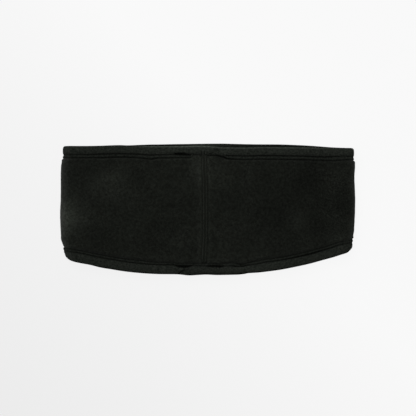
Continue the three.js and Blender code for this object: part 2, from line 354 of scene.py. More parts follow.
for side in ROW_TABLES:
    print(side, "first row in the middle, mm:", round(float(row_value(side, "first row", 0.0, 1.0)), 1))

# %% [markdown]
# ## From a flat grid to cloth
# Every strip of cloth here starts as a grid, because a grid is what woven and knitted cloth is: rows and
# columns. The grid's two directions are read as the way round the ring and the way round the strip's
# section, and each vertex is moved to its place on the cloth. Merging by distance then sews the edges of
# the grid together, so that it becomes one closed skin. Its texture coordinates are kept, in metres, so
# that a knit can follow the cloth round a fold.

# %% Helpers for strips
def select_only(piece):
    bpy.ops.object.select_all(action="DESELECT")
    piece.select_set(True)
    bpy.context.view_layer.objects.active = piece


def mark(piece, name, values):
    """Keeps one number for each vertex, for the materials."""
    layer = piece.data.attributes.new(name, "FLOAT", "POINT")
    layer.data.foreach_set("value", np.ascontiguousarray(values, dtype=np.float32))


def pick(values, across):
    """The value of a list at a place from 0 to 1 along it."""
    return values[np.rint(across * (len(values) - 1)).astype(int)]


def vertex_array(piece):
    flat = np.empty(len(piece.data.vertices) * 3)
    piece.data.vertices.foreach_get("co", flat)
    return flat.reshape(-1, 3)


def strip(name, steps_along, steps_across, place, size, shade=None):
    """A grid whose vertices go where place(along, across) says, both from 0 to 1."""
    bpy.ops.object.select_all(action="DESELECT")
    bpy.ops.mesh.primitive_grid_add(x_subdivisions=steps_along, y_subdivisions=steps_across, size=1)
    piece = bpy.context.object
    piece.name = name
    along, across = vertex_array(piece)[:, :2].T + 0.5
    piece.data.vertices.foreach_set("co", place(along, across).ravel())
    if shade:
        mark(piece, "shade", shade(along, across))
    uv = piece.data.uv_layers.active.uv
    flat_uv = np.empty(len(uv) * 2)
    uv.foreach_get("vector", flat_uv)
    uv.foreach_set("vector", (flat_uv.reshape(-1, 2) * size).ravel())
    select_only(piece)
    bpy.ops.object.mode_set(mode="EDIT")
    bpy.ops.mesh.select_all(action="SELECT")
    bpy.ops.mesh.remove_doubles(threshold=1e-6)
    bpy.ops.mesh.normals_make_consistent(inside=False)
    bpy.ops.object.mode_set(mode="OBJECT")
    bpy.ops.object.shade_smooth()
    return piece


def apply_modifier(piece, kind, **settings):
    select_only(piece)
    modifier = piece.modifiers.new(kind.title(), kind)
    for key, value in settings.items():
        setattr(modifier, key, value)
    bpy.ops.object.modifier_apply(modifier=modifier.name)


def report(piece):
    piece.data.calc_loop_triangles()
    print(piece.name, "triangles:", len(piece.data.loop_triangles))


# %% [markdown]
# ## The fleece
# Fleece is knitted and then brushed until its loops stand up as a short nap. It is about 3 mm thick in
# the open and is pressed to about 1 mm inside a binding. The grid runs up the outer face and down the
# inner face, with more rows beside the bindings, where the thickness changes quickly.

# %% Rows and thickness of the fleece
PRESSED_ROWS = (0.0, 0.6, 3.0, 5.4)
BULGE_ROWS = (6.0, 6.5, 7.0, 7.5, 8.0, 8.5, 8.9, 9.3, 9.7, 10.1, 10.6, 11.2, 12.0, 13.0)
OPEN_ROWS = 70
FLEECE_START = CHANNEL_END + 0.3 * MM
FLEECE_STEPS = 450
FLEECE_ROUNDED = 0.6 * MM
FREE_AFTER = 1.2 * MM
PUFF = 0.3 * MM
PUFF_AT = 1.9 * MM
PUFF_REACH = 1.5 * MM


def inner_end(side, x, rise):
    """How far the binding's inner end is from the edge of the band."""
    return row_value(side, "second row", x, rise) * MM + ROW_TO_END


def fleece_half(past):
    """Half of the thickness at a distance past the inner end of the binding."""
    free = smooth(past, 0.0, FREE_AFTER)
    puff = PUFF * hump(past - PUFF_AT, PUFF_REACH)
    return PRESSED_HALF * (1 - free) + (WALL / 2 + puff) * free


def place_fleece(along, across):
    way = along * RING_LENGTH
    ring_x, rise, out_x, out_z = ring(way)
    top = edge_height("Top", ring_x, rise)
    bottom = edge_height("Bottom", ring_x, rise)
    up = 1 - np.abs(2 * across - 1)
    outer = across < 0.5
    edge = np.array(PRESSED_ROWS + BULGE_ROWS) * MM
    height = top - bottom - 2 * FLEECE_START
    steps = len(edge) - 1
    count = OPEN_ROWS + 2 * steps
    row = up * count
    from_bottom = np.interp(row, np.arange(steps + 1), edge)
    from_top = np.interp(count - row, np.arange(steps + 1), edge)
    open_share = np.clip((row - steps) / OPEN_ROWS, 0, 1)
    middle = edge[-1] + (height - 2 * edge[-1]) * open_share
    climbed = np.select([row < steps, count - row < steps], [from_bottom, height - from_top], middle)
    away_bottom = FLEECE_START + climbed
    away_top = FLEECE_START + height - climbed
    drawn = drawn_in("Bottom", ring_x, away_bottom) + drawn_in("Top", ring_x, away_top)
    x = ring_x * (1 - drawn / HALF_WIDTH)
    near_top = away_top < away_bottom
    away = np.where(near_top, away_top, away_bottom)
    y = np.where(
        near_top,
        edge_height("Top", x, rise) - away_top,
        edge_height("Bottom", x, rise) + away_bottom,
    )
    past = away - np.where(near_top, inner_end("Top", ring_x, rise), inner_end("Bottom", ring_x, rise))
    end = np.sqrt(np.clip((away - FLEECE_START) / FLEECE_ROUNDED, 0, 1))
    half = fleece_half(past) * end
    beside = smooth(np.abs(x - seam_line(y)), SEAM_HALF - 0.1 * MM, SEAM_HALF + 1.0 * MM)
    pressed = (1 - beside) * (rise > 0.99) * outer
    half = half * (1 - pressed) + np.minimum(half, PRESSED_HALF) * pressed
    z = wall_height(x, y, rise, bound_at(away))
    return stand_out(x, y, z, out_x, out_z, np.where(outer, half, -half))


# %% Make the fleece
fleece_across = 2 * (OPEN_ROWS + 2 * (len(PRESSED_ROWS + BULGE_ROWS) - 1))
fleece = strip("fleece_shell", FLEECE_STEPS, fleece_across, place_fleece, (RING_LENGTH, 2 * BAND_HEIGHT))
report(fleece)

# %% [markdown]
# The nap isn't even: brushing gathers it in small tufts, and the cloth under it waves a little. Two
# displacements do this, a fine one for the tufts and a broad one for the waves. A vertex group keeps
# them out of the bindings and away from the seam, and what would go below the table is set down on it.
# The patches where the nap is lighter or darker are partly its own tone and partly painted light: a
# painted highlight on the left fold, painted shade towards the right fold, and a painted shadow beside
# the end of the top lap. A painted highlight runs beside the seam, and the nap is ruffled near the right
# fold. Two numbers are kept for each vertex, and the fleece's material reads them, because these places
# belong to this piece and no even pattern has them.

# %% Tufts, waves and patches
# The columns are x, y and reach in millimetres, and the change of light. The patches are partly the nap's
# own tone and partly painted highlight and shade, and the last three rows are a painted shadow beside the
# end of the top lap.
NAP_TONE_AND_PAINTED_LIGHT_PATCHES = np.array([
    (-86, 25, 14, 0.46), (-122, -7, 13, 1.3),
    (-106, 38, 14, -0.3), (-89, 38, 8, -0.2),
    (-91, 5, 11, -0.25), (-58, 27, 9, -0.3),
    (-103, -22, 16, -0.12), (-82, -22, 18, -0.12),
    (-60, -30, 20, -0.08), (-2, 42, 9, 0.15),
    (-5, 34, 13, 0.2), (-10, 43, 7, 0.25),
    (40, -20, 22, -0.12), (58, 1, 16, -0.2),
    (88, 26, 16, -0.22), (80, -4, 40, -0.24),
    (78, -10, 8, 0.4), (97, -16, 8, -0.2),
    (117, 4, 12, -0.25), (118, -30, 9, 0.6),
    (8.5, 46.0, 1.4, -0.5), (11.5, 45.4, 1.4, -0.5),
    (14.5, 44.6, 1.4, -0.5),
])
TUFT = 2.4 * MM
TUFT_LIFT = 0.3 * MM
WAVE = 15 * MM
WAVE_LIFT = 0.6 * MM
GROUP_STEPS = 20
PAINTED_HIGHLIGHT_LEFT_OF_SEAM = 0.5
PAINTED_HIGHLIGHT_RIGHT_OF_SEAM = 0.2
PAINTED_HIGHLIGHT_FROM_SEAM = 1.3 * MM
PAINTED_HIGHLIGHT_REACH = 1.2 * MM
RUFFLED_ACROSS = (76 * MM, 112 * MM)
RUFFLED_FROM = (-34 * MM, -16 * MM)
RUFFLED_TO = (24 * MM, 44 * MM)


def open_nap(piece):
    """A vertex group that is 1 on the open fleece and 0 in the bindings and under the seam."""
    x, y, z = vertex_array(piece).T
    rise = np.clip((z - WALL) / (2 * FOLD_RADIUS - WALL), 0, 1)
    past_top = edge_height("Top", x, rise) - y - inner_end("Top", x, rise)
    past_bottom = y - edge_height("Bottom", x, rise) - inner_end("Bottom", x, rise)
    weight = smooth(np.minimum(past_top, past_bottom), 0.3 * MM, 3 * MM)
    beside = smooth(np.abs(x - seam_line(y)), SEAM_HALF + 0.2 * MM, SEAM_HALF + 2.2 * MM)
    weight = np.rint(GROUP_STEPS * weight * np.where(rise > 0.5, beside, 1)).astype(int)
    group = piece.vertex_groups.new(name="open")
    for step in range(GROUP_STEPS + 1):
        group.add(np.flatnonzero(weight == step).tolist(), step / GROUP_STEPS, "REPLACE")


def displace(piece, name, size, lift, depth):
    texture = bpy.data.textures.new(name, "CLOUDS")
    texture.noise_scale = size
    texture.noise_depth = depth
    apply_modifier(
        piece, "DISPLACE", texture=texture, texture_coords="LOCAL", direction="NORMAL",
        strength=lift, mid_level=0.5, vertex_group="open",
    )
    bpy.data.textures.remove(texture)


def set_down(piece):
    """Nothing goes below the table."""
    points = vertex_array(piece)
    points[:, 2] = np.maximum(points[:, 2], 0)
    piece.data.vertices.foreach_set("co", points.ravel())
    piece.data.update()


def nap_tone_and_painted_light(piece):
    """How light the nap looks from above, with painted highlights and shade in it: 1 is usual."""
    x, y, z = vertex_array(piece).T
    patches = spots(x, y, NAP_TONE_AND_PAINTED_LIGHT_PATCHES * (MM, MM, MM, 1))
    # A painted highlight beside the seam, stronger on its left side.
    from_seam = x - seam_line(y)
    beside = hump(np.abs(from_seam) - SEAM_HALF - PAINTED_HIGHLIGHT_FROM_SEAM, PAINTED_HIGHLIGHT_REACH)
    seam_highlight = np.where(from_seam < 0, PAINTED_HIGHLIGHT_LEFT_OF_SEAM, PAINTED_HIGHLIGHT_RIGHT_OF_SEAM)
    return 1 + (patches + seam_highlight * beside) * (z > FOLD_RADIUS)


def ruffled(piece):
    """Where the nap is ruffled and its tufts stand further apart: 1 at the right fold."""
    x, y, _ = vertex_array(piece).T
    return smooth(x, *RUFFLED_ACROSS) * smooth(y, *RUFFLED_FROM) * (1 - smooth(y, *RUFFLED_TO))


open_nap(fleece)
displace(fleece, "waves", WAVE, WAVE_LIFT, 1)
displace(fleece, "tufts", TUFT, TUFT_LIFT, 2)
set_down(fleece)
nap_tone_and_painted_light_values = nap_tone_and_painted_light(fleece)
mark(fleece, "nap", nap_tone_and_painted_light_values)
mark(fleece, "ruffled", ruffled(fleece))
print("light of the nap:", round(float(nap_tone_and_painted_light_values.min()), 2), "to", round(float(nap_tone_and_painted_light_values.max()), 2))

# %% [markdown]
# ## The bindings
# A binding is a strip of stretch knit folded over the edge of the fleece. Two needles sew it at once, so
# two rows of stitches run side by side, and the knit swells between the rows and round the edge. The
# section below is drawn once, as a list of points from the inner end of its outer face, round the edge
# and back, and then along the channel that holds the fleece. The rows press grooves into it, most where
# a needle went through, and less round a fold, where the strip is stretched tight. Distances from the
# edge are called s here.

# %% Section of a binding
FIRST_ROW = 7.3 * MM
SECOND_ROW = 10.2 * MM
INNER_END = SECOND_ROW + ROW_TO_END
CREST = 2.4 * MM
CREST_POWER = 2.4
SLOPE_DROP = 0.35 * MM
STEP_DROP = 0.4 * MM
END_DROP = 0.4 * MM
ROW_DEPTH = 1.05 * MM
ROW_REACH = 0.45 * MM
ROWS = ((FIRST_ROW, "first pull"), (SECOND_ROW, "second pull"))
MOST_PRESSED = 1.3
NEEDLE_BEAT = 0.15
FOLD_EASE = 0.6
STITCH_PITCH = 2.8 * MM
BINDING_STEPS = 744


def face_profile():
    """Distances from the edge of the band, from the inner end of a face to the edge."""
    rounded = CREST * (1 - np.cos(np.linspace(0, math.pi / 2, 9)))
    swell = np.linspace(3.0, 6.0, 6) * MM
    first = FIRST_ROW + np.linspace(-0.95, 0.95, 9) * MM
    between = np.linspace(8.5, 9.1, 3) * MM
    second = SECOND_ROW + np.linspace(-0.8, 0.3, 6) * MM
    return np.r_[rounded, swell, first, between, second, INNER_END][::-1]


def face_height(s):
    """Height of a face above the middle of the cloth, before the rows press it in."""
    rim = (1 - np.clip(1 - s / CREST, 0, 1) ** CREST_POWER) ** (1 / CREST_POWER)
    slope = SLOPE_DROP * smooth(s, 4.0 * MM, FIRST_ROW)
    step = STEP_DROP * smooth(s, FIRST_ROW - 0.5 * MM, FIRST_ROW + 0.5 * MM)
    end = END_DROP * smooth(s, SECOND_ROW, INNER_END) ** 2
    return BINDING_HALF * rim - slope - step - end


def spread(side, s, x, rise):
    """Moves the rows of the plain section to where they really run."""
    first = row_value(side, "first row", x, rise) * MM
    second = row_value(side, "second row", x, rise) * MM
    outer_part = CREST + (s - CREST) * (first - CREST) / (FIRST_ROW - CREST)
    inner_part = first + (s - FIRST_ROW) * (second - first) / (SECOND_ROW - FIRST_ROW)
    end_part = second + s - SECOND_ROW
    return np.select([s < CREST, s < FIRST_ROW, s < SECOND_ROW], [s, outer_part, inner_part], end_part)


def groove(side, s, way, x, rise):
    """How hard the rows of stitches press. A hard pull makes a groove wide more than deep."""
    needle = 1 - NEEDLE_BEAT + NEEDLE_BEAT * np.cos(2 * math.pi * way / STITCH_PITCH)
    at_fold = 4 * rise * (1 - rise)
    press = 0
    for row, column in ROWS:
        pull = row_value(side, column, x, rise)
        past_end = (s > SECOND_ROW) & (row == SECOND_ROW)
        beside = np.exp(-(((s - row) / ROW_REACH) ** 2) / np.maximum(pull, 0.3))
        press = press + pull * np.where(past_end, 1, beside)
    return needle * np.minimum(press, MOST_PRESSED) * (1 - FOLD_EASE * at_fold)


# %% [markdown]
# A black knit shows its shape mostly by how light it is, so light and shade are painted into its colour.
# Painted shade darkens the grooves where the stitches draw it in, the strip between them, and the slope
# of the top binding before its first row. A painted highlight runs along the rim of the top edge, where
# it faces the lamp, and painted shade runs along the bottom rim. The table has, at places along X, the
# extra painted light of the rim, the painted light of the face, and the painted light and shade of the
# layer underneath. The painted creases, spots of shade and lines of light near the laps are short lines,
# and the upright ones along the top are painted along the lines of the seam, which shows through.

# %% Light and shade of the knit
PAINTED_KNIT_LIGHT_COLUMNS = ("x", "rim", "face", "under")
PAINTED_KNIT_LIGHT_ROWS = {
    "Top": np.array([
        (-128, 0.0, 0.8, 0.62), (-118, 0.0, 1.0, 0.62),
        (-88, 0.0, 0.97, 0.62), (-78, -0.35, 0.98, 0.62),
        (-68, 0.0, 1.05, 0.62), (-61, 0.3, 1.08, 0.6),
        (-50, 2.6, 1.1, 0.42), (-36, 2.9, 1.18, 0.42),
        (-30, 3.0, 1.2, 0.6), (-14, 3.0, 1.22, 0.55),
        (-8, 2.9, 1.22, 1.1), (1, 2.4, 1.22, 1.1),
        (7, 1.5, 1.2, 0.95), (18, 1.9, 1.18, 0.9),
        (23, 2.0, 1.15, 0.65), (44, 1.9, 1.1, 0.68),
        (61, 1.8, 1.15, 0.62), (92, 2.0, 1.08, 0.62),
        (108, 0.4, 1.1, 0.62), (128, 0.0, 1.2, 0.62),
    ]),
    "Bottom": np.array([(x, -0.3, face, 0.62) for x, face in (
        (-128, 0.9), (-95, 0.92), (-78, 0.98), (-43, 1.06), (-26, 0.97), (-8, 0.97),
        (9, 1.04), (26, 1.12), (61, 1.1), (79, 1.0), (96, 0.97), (128, 1.05),
    )]),
}
# Where the painted highlight along the rim lies, and how wide it is.
RIM_HIGHLIGHT_AT = {"Top": 0.7 * MM, "Bottom": 0.6 * MM}
RIM_HIGHLIGHT_REACH = 0.28 * MM
SHADE_REACH = 0.62 * MM
ROW_SHADE = 0.62
BETWEEN_SHADE = 0.2
BETWEEN_REACH = 1.2 * MM
SLOPE_SHADE = 0.2
SLOPE_FROM = 3.5 * MM
DARKEST = 0.12
# Painted lines of shade and light. The columns are x and s at one end, x and s at the other, the reach,
# all in mm, and the change.
PAINTED_SHADE_AND_LIGHT_LINES = {
    "Top": np.array([
        (8.5, 2.1, 8.5, 2.1, 1.1, -0.5), (6.8, 2.7, 3.5, 4.9, 1.2, -0.2),
        (-5.4, 4.2, -5.4, 7.8, 0.42, -0.8), (-2.8, 4.2, -2.8, 7.8, 0.42, -0.7),
        (-0.6, 4.6, -0.6, 7.8, 0.5, -0.7), (-4.2, 4.6, -4.2, 7.8, 0.4, 0.3),
        (-1.7, 4.6, -1.7, 7.8, 0.4, 0.4),
    ]),
    "Bottom": np.array([
        (-26.3, 1.3, -21.5, 4.4, 0.8, -0.8), (-26.0, 3.8, -22.5, 5.4, 0.9, 0.3),
        (-19.5, 1.5, -17.5, 5.0, 1.7, -0.25),
    ]),
}


def painted_shade_and_light_lines(side, s, x):
    """Painted creases, spots of shade and lines of light, each along a short line."""
    change = 0
    for x0, s0, x1, s1, reach, deep in PAINTED_SHADE_AND_LIGHT_LINES[side]:
        x0, s0, x1, s1, reach = (v * MM for v in (x0, s0, x1, s1, reach))
        length = (x1 - x0) ** 2 + (s1 - s0) ** 2
        t = np.clip(((x - x0) * (x1 - x0) + (s - s0) * (s1 - s0)) / max(length, 1e-12), 0, 1)
        off = (x - x0 - t * (x1 - x0)) ** 2 + (s - s0 - t * (s1 - s0)) ** 2
        change = change + deep * np.exp(-off / reach**2)
    return change


def knit_shade(side, s, way):
    """How light the knit looks: painted shade in the rows, and a painted highlight over the rim."""
    x, rise = ring(way)[:2]
    # Painted shade in the rows of stitches, between them, and on the top binding's slope before its first
    # row.
    dark = 0
    for row, column in ROWS:
        pull = row_value(side, column, x, rise)
        dark = dark + ROW_SHADE * pull * hump(s - row, SHADE_REACH * np.sqrt(np.maximum(pull, 1)))
    dark = dark + BETWEEN_SHADE * hump(s - (FIRST_ROW + SECOND_ROW) / 2, BETWEEN_REACH)
    if side == "Top":
        dark = dark + SLOPE_SHADE * smooth(s, SLOPE_FROM, FIRST_ROW) * (s < FIRST_ROW)
    # A painted highlight along the rim, painted light along the face, and painted light and shade on the
    # layer underneath.
    rim, face, under = (read(PAINTED_KNIT_LIGHT_ROWS[side], PAINTED_KNIT_LIGHT_COLUMNS, name, x / MM) for name in PAINTED_KNIT_LIGHT_COLUMNS[1:])
    upper = face * (1 + rim * hump(s - RIM_HIGHLIGHT_AT[side], RIM_HIGHLIGHT_REACH)) * (1 + painted_shade_and_light_lines(side, s, x))
    return np.maximum(1 - dark, DARKEST) * (under * (1 - rise) + upper * rise)


# %% [markdown]
# Where a binding's two ends meet, one end lies over the other, cut on a slant. On both edges the lap
# reaches past the seam on both sides. The table has the two ends of each lap, at the edge of the band and
# at the first row of stitches, how softly it starts and ends, and the line of the dent beside it. The lap
# on the bottom edge is the longer one.

# %% Places of the laps
LAP_CLOTH = 0.7 * MM
LAP_GAP = 0.06 * MM
LAP_SUNK = 0.2 * MM
# Each row has the value at the top edge and the one at the bottom edge, in mm.
LAP_ROWS = {
    "start at edge": (-24, -25.8),
    "start at row": (-22, -18.2),
    "soft start": (14, 12.0),
    "end at edge": (11.4, 34),
    "end at row": (3.6, 29.5),
    "soft end": (5.0, 6.0),
    "blunt end": (1.0, 1.0),
    "crease at edge": (12.4, -26.2),
    "crease at row": (4.6, -18.6),
    "crease depth": (0.12, 0.15),
    "bulge": (3.5, -3.0),
}
LAPS = {
    side: {name: row[column] * MM for name, row in LAP_ROWS.items()}
    for column, side in enumerate(("Top", "Bottom"))
}


def slant(side, name, s):
    """Where a slanted line of the lap is, at a distance from the edge."""
    at_edge, at_row = LAPS[side][name + " at edge"], LAPS[side][name + " at row"]
    return at_edge + (at_row - at_edge) * (s / FIRST_ROW)


def lap_lift(side, s, x):
    """How high the middle of the lap's cloth lies above the binding under it."""
    lap = LAPS[side]
    begun = smooth(x - slant(side, "start", s), 0, lap["soft start"])
    ended = smooth(slant(side, "end", s) - x, -lap["blunt end"], lap["soft end"])
    low, high = -LAP_CLOTH / 2 - LAP_SUNK, LAP_CLOTH / 2 + LAP_GAP
    return low + (high - low) * begun * ended


for side, lap in LAPS.items():
    print(side, "lap at the edge, mm:", round((lap["end at edge"] - lap["start at edge"]) / MM, 1))

# %% [markdown]
# Three more small things shape the outer face: ripples across the strip where it drew back after
# sewing, the dent beside a lap, and the lines of the seam, which press through the top binding.

# %% Outer face of a binding
PUCKER = 0.1 * MM
RIPPLE = 1.15 * MM
RIPPLE_DRIFT = 9.7 * MM
RIPPLE_GROUP = 3.1 * MM
CREASE_REACH = 0.8 * MM
BULGE = 0.2 * MM
BULGE_REACH = 2.2 * MM
SEAM_PRESS = 0.3 * MM
SEAM_PRESS_REACH = 0.5 * MM
LEAST_CLOTH = 0.12 * MM


def pucker(s, way):
    """Small cross ripples where the stretched binding drew back."""
    ripple = np.sin(way / RIPPLE + 2.1 * np.sin(way / RIPPLE_DRIFT)) * np.sin(way / RIPPLE_GROUP + 1.3)
    body = smooth(s, 0.2 * MM, 2.5 * MM) * (1 - smooth(s, 5.6 * MM, 6.8 * MM))
    return PUCKER * ripple * body


def crease(side, s, x, rise):
    """A dent in the binding beside a lap, and a soft bulge beyond the dent."""
    from_line = x - slant(side, "crease", s)
    dent = LAPS[side]["crease depth"] * hump(from_line, CREASE_REACH)
    bulge = BULGE * hump(from_line - LAPS[side]["bulge"], BULGE_REACH)
    return (dent - bulge) * smooth(s, 0, 1.5 * MM) * (1 - smooth(s, 5.5 * MM, 7.5 * MM)) * (rise > 0.99)


def seam_through(side, s, x, rise):
    """The edges and the middle of the seam show through the top binding."""
    if side == "Bottom":
        return 0
    from_seam = x - seam_line(50 * MM)
    lines = sum(hump(from_seam - at, SEAM_PRESS_REACH) for at in (-SEAM_HALF, 0, SEAM_HALF))
    return SEAM_PRESS * lines * smooth(s, 4.5 * MM, 6 * MM) * (rise > 0.99)


def outside(side, s, way):
    """The outer height of the binding at a place round the ring."""
    x, rise = ring(way)[:2]
    pressed = ROW_DEPTH * groove(side, s, way, x, rise)
    pressed = pressed + crease(side, s, x, rise) + seam_through(side, s, x, rise)
    height = face_height(s) - pressed + pucker(s, way)
    return np.maximum(height, np.minimum(face_height(s), CHANNEL_HALF + LEAST_CLOTH))


# %% Make both bindings
face_s = face_profile()
both_s = np.r_[face_s, face_s[::-1][1:]]
both_faces = np.r_[np.ones(len(face_s)), -np.ones(len(face_s) - 1)]
channel_s = np.array([SECOND_ROW, CHANNEL_END, CHANNEL_END, SECOND_ROW, INNER_END])
section_s = np.r_[both_s, channel_s]
section_face = np.r_[both_faces, -1, -1, 1, 1, 1]
section_channel = np.r_[np.zeros(len(both_s)), 1, 1, 1, 1, 0]


def place_binding(side, along, across):
    way = along * RING_LENGTH
    s = pick(section_s, across)
    x, rise = ring(way)[:2]
    offset = np.where(pick(section_channel, across) > 0.5, CHANNEL_HALF, outside(side, s, way))
    return cloth_point(way, side, spread(side, s, x, rise), pick(section_face, across) * offset)


def binding_shade(side, along, across):
    return knit_shade(side, pick(section_s, across), along * RING_LENGTH)


section_length = 4 * SECOND_ROW
bindings = {}
for side in ("Top", "Bottom"):
    piece = strip(
        side.lower() + "_binding_knit", BINDING_STEPS, len(section_s) - 1,
        partial(place_binding, side), (RING_LENGTH, section_length), partial(binding_shade, side),
    )
    set_down(piece)
    bindings[side] = piece
    report(piece)

# %% [markdown]
# A lap is a sheet that follows the binding a little higher, given its thickness by a Solidify modifier.

# %% Make both laps
def lap_x(side, s, along):
    start = slant(side, "start", s)
    return start + (slant(side, "end", s) - start) * along


def place_lap(side, along, across):
    s = pick(both_s, across)
    x = lap_x(side, s, along)
    way = way_at(x)
    lift = lap_lift(side, s, x)
    rim = np.clip(1 - s / CREST, 0, 1)
    offset = pick(both_faces, across) * (outside(side, s, way) + lift * (1 - rim**2))
    point = cloth_point(way, side, spread(side, s, x, 1.0), offset)
    point[:, 1] += (1 if side == "Top" else -1) * rim**2 * lift
    return point


def lap_shade(side, along, across):
    s = pick(both_s, across)
    return knit_shade(side, s, way_at(lap_x(side, s, along)))


laps = {}
for side in ("Top", "Bottom"):
    length = LAPS[side]["end at edge"] - LAPS[side]["start at edge"]
    piece = strip(
        side.lower() + "_lap", int(length / (0.4 * MM)), len(both_s) - 1,
        partial(place_lap, side), (length, section_length), partial(lap_shade, side),
    )
    apply_modifier(piece, "SOLIDIFY", thickness=LAP_CLOTH, offset=0)
    laps[side] = piece
    report(piece)

# %% [markdown]
# ## The seam
# The seam that closes the ring was sewn flat, so it is a strip with two ribs. Fine thread runs along its
# left edge and between the ribs. The strip is brushed less than the fleece beside it, because the thread
# holds the nap down, and its upper end is a little paler.

# %% Make the seam
RIBS_AT = (-1.2 * MM, 1.35 * MM)
RIB_REACH = 0.62 * MM
RIB_HEIGHT = 0.85 * MM
SEAM_BASE = 0.85 * MM
SEAM_EDGE = 0.12 * MM
SEAM_STEPS = 200
SEAM_COLUMNS_ACROSS = 41
SEAM_LENGTH = 90 * MM
SEAM_BEAT = 0.1
SEAM_PALER = 0.22
SEAM_PALER_AT = (26 * MM, 38 * MM)
seam_start, seam_end = SEAM_BOTTOM + 10.1 * MM, SEAM_TOP - 7.6 * MM
across_seam = np.linspace(-SEAM_HALF, SEAM_HALF, SEAM_COLUMNS_ACROSS)
seam_x = np.r_[across_seam, across_seam[::-1]]
seam_top = np.r_[np.ones(SEAM_COLUMNS_ACROSS), np.zeros(SEAM_COLUMNS_ACROSS)]


def rib_height(x):
    share = np.clip(np.abs(x) / SEAM_HALF, 0, 1)
    ribs = sum(hump(x - at, RIB_REACH) for at in RIBS_AT)
    return (SEAM_EDGE + RIB_HEIGHT * ribs) * (1 - share**6)


def seam_base(y):
    away = np.minimum(y - SEAM_BOTTOM, SEAM_TOP - y)
    return wall_height(seam_line(y), y, 1.0, bound_at(away)) + SEAM_BASE


def place_seam(along, across):
    x = pick(seam_x, across)
    y = seam_start + (seam_end - seam_start) * along
    beat = 1 - SEAM_BEAT + SEAM_BEAT * np.cos(2 * math.pi * y / STITCH_PITCH)
    ends = np.sqrt(np.clip(np.minimum(along, 1 - along) * SEAM_STEPS, 0, 1))
    z = seam_base(y) + pick(seam_top, across) * rib_height(x) * beat * ends
    return np.stack([seam_line(y) + x, y, z], axis=-1)


def seam_shade(along, across):
    """How light the seam looks: 1 is usual."""
    y = seam_start + (seam_end - seam_start) * along
    return 1 + SEAM_PALER * smooth(y, *SEAM_PALER_AT)


seam_size = (SEAM_LENGTH, 2 * SEAM_HALF)
seam = strip("seam_ribs", SEAM_STEPS, len(seam_x) - 1, place_seam, seam_size, seam_shade)
report(seam)

# %% [markdown]
# ## The stitches
# Each stitch is a short length of thread that dives into the cloth at both ends. One stitch is modelled
# from a sphere, stretched and pressed, and copied along each row. The outer faces show straight rows.
# The inner faces show the thread that zigzags between the two rows.

# %% One stitch and a row of them
THREAD = 0.36 * MM
THREAD_LIFT = 0.1 * THREAD
STITCH_SIDES = 8
STITCH_RINGS = 6
STITCH_SHARE = 0.9
STITCH_DIVE = 0.9
LEAST_PULL = 0.3


def model_stitch():
    """A stitch of length 1 along X and thickness 1."""
    bpy.ops.object.select_all(action="DESELECT")
    bpy.ops.mesh.primitive_uv_sphere_add(segments=STITCH_SIDES, ring_count=STITCH_RINGS, radius=0.5)
    ball = bpy.context.object
    bpy.ops.object.mode_set(mode="EDIT")
    bpy.ops.transform.rotate(value=math.pi / 2, orient_axis="Y", center_override=(0, 0, 0))
    bpy.ops.object.mode_set(mode="OBJECT")
    points = np.array([vertex.co[:] for vertex in ball.data.vertices])
    faces = [tuple(polygon.vertices) for polygon in ball.data.polygons]
    bpy.data.meshes.remove(ball.data)
    points[:, 2] -= STITCH_DIVE * np.abs(2 * points[:, 0]) ** 4
    return points, faces


def sew(name, starts, ends, outwards):
    """One mesh of stitches, each from a start to an end, with outwards pointing off the cloth."""
    points, faces = model_stitch()
    along = ends - starts
    length = np.linalg.norm(along, axis=1, keepdims=True)
    across = np.cross(outwards, along / length)
    up = np.cross(along / length, across)
    middle = (starts + ends) / 2
    placed = (
        middle[:, None]
        + points[None, :, :1] * along[:, None]
        + points[None, :, 1:2] * THREAD * across[:, None]
        + points[None, :, 2:] * THREAD * up[:, None]
    )
    vertices = placed.reshape(-1, 3)
    copies = [tuple(v + k * len(points) for v in face) for k in range(len(starts)) for face in faces]
    mesh = bpy.data.meshes.new(name)
    mesh.from_pydata(vertices.tolist(), [], copies)
    piece = bpy.data.objects.new(name, mesh)
    bpy.context.collection.objects.link(piece)
    select_only(piece)
    bpy.ops.object.shade_smooth()
    report(piece)
    return piece


# %% Where the stitches of a binding go
def row_points(side, way, s, face):
    x, rise = ring(way)[:2]
    lapped = (rise > 0.99) & (face > 0) & (x > slant(side, "start", s)) & (x < slant(side, "end", s))
    lift = np.where(lapped, lap_lift(side, s, x) + LAP_CLOTH / 2, 0)
    height = outside(side, s, way) + lift + THREAD_LIFT
    return cloth_point(way, side, spread(side, s, x, rise), face * height)


def binding_stitches(side):
    begin = np.arange(int(RING_LENGTH / STITCH_PITCH)) * STITCH_PITCH
    rows, pulls = zip(*ROWS)
    starts, ends, outs = [], [], []
    for face, first, second in ((1, 0, 0), (1, 1, 1), (-1, 0, 1), (-1, 1, 0)):
        shift = STITCH_PITCH / 2 if (face, first) == (-1, 1) else 0.0
        reach = STITCH_SHARE * STITCH_PITCH if face > 0 else STITCH_PITCH / 2
        one = begin + shift + (STITCH_PITCH - reach) / 2
        x, rise, out_x, out_z = ring(one)
        held = row_value(side, pulls[first], x, rise) > LEAST_PULL
        starts.append(row_points(side, one, np.full(len(one), rows[first]), face)[held])
        ends.append(row_points(side, one + reach, np.full(len(one), rows[second]), face)[held])
        outs.append(face * np.stack([out_x, np.zeros(len(one)), out_z], axis=-1)[held])
    return np.concatenate(starts), np.concatenate(ends), np.concatenate(outs)


# %% Sew the bindings and the seam
stitches = {side: sew(side.lower() + "_stitches", *binding_stitches(side)) for side in bindings}

SEAM_ROWS_AT = (-SEAM_HALF + 0.1 * MM, 0.2 * MM)
SEAM_ROWS_FROM_EDGE = 11 * MM
seam_begin = np.arange(SEAM_BOTTOM + SEAM_ROWS_FROM_EDGE, SEAM_TOP - SEAM_ROWS_FROM_EDGE, STITCH_PITCH)


